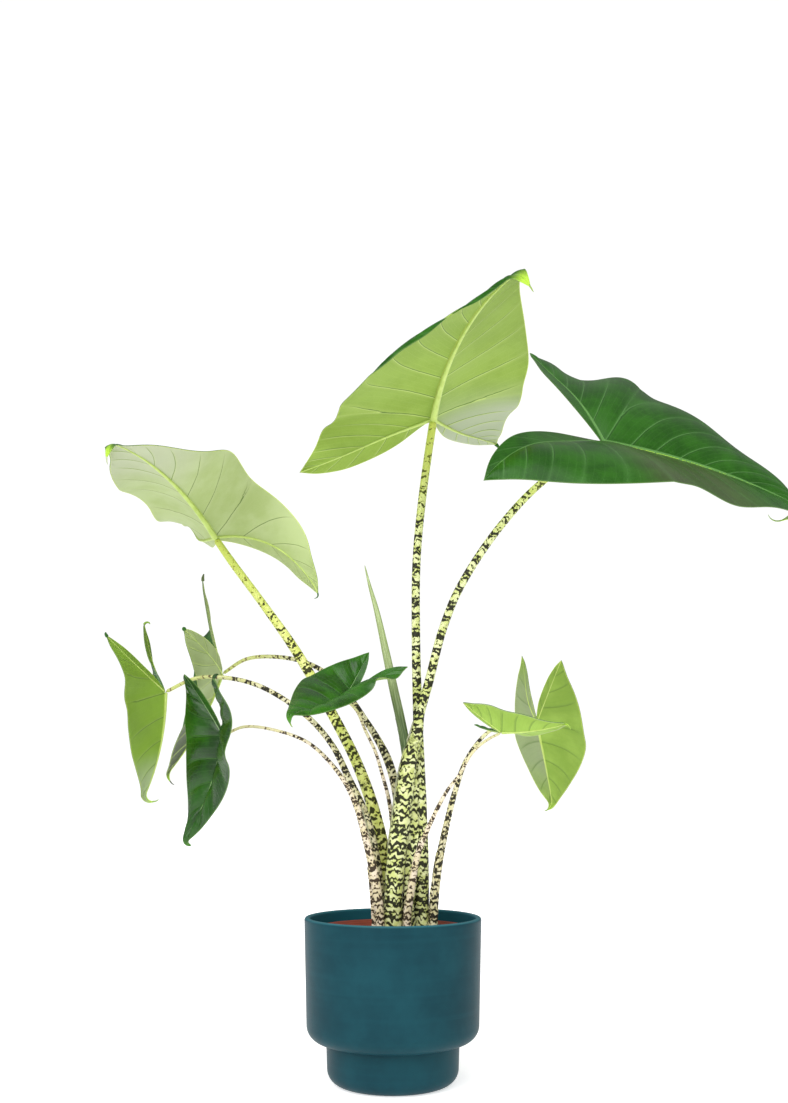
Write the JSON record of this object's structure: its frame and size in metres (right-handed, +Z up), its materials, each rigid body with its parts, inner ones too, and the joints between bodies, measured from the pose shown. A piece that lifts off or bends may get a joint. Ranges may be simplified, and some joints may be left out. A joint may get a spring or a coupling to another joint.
{
  "type": "potted alocasia zebrina",
  "caption": "Zebra-stemmed alocasia with arrow-shaped leaves and a rolled new leaf, in a plastic nursery pot inside a matte teal ceramic cover pot.",
  "frame": {"origin": "middle of the cover pot's underside, on the surface that it stands on", "axes": "+Z up along the pot's axis, -Y to the front seen in the picture, +X to the right of that view"},
  "size_m": [0.8143, 0.4848, 0.9118],
  "materials": {
    "ceramic": "matte teal glaze",
    "plastic": "orange-brown moulded plastic",
    "soil": "loose peat and bark potting mix",
    "stalk": "yellow-green skin with dark transverse zebra bands",
    "leaf": "glossy dark green above, pale matte green below, lighter ribs",
    "spear": "pale sage green, satin"
  },
  "bodies": {
    "root": {"cover_pot": "ceramic", "nursery_pot": "plastic", "soil": "soil", "leaf_1_stem": "stalk", "leaf_1_blade": "leaf", "leaf_2_stem": "stalk", "leaf_2_blade": "leaf", "leaf_3_stem": "stalk", "leaf_3_blade": "leaf", "leaf_4_stem": "stalk", "leaf_4_blade": "leaf", "leaf_5_stem": "stalk", "leaf_5_blade": "leaf", "leaf_6_stem": "stalk", "leaf_6_blade": "leaf", "leaf_7_stem": "stalk", "leaf_7_blade": "leaf", "leaf_8_stem": "stalk", "leaf_8_blade": "leaf", "leaf_9_stem": "stalk", "leaf_9_blade": "leaf", "spear": "spear"}
  },
  "joints": []
}
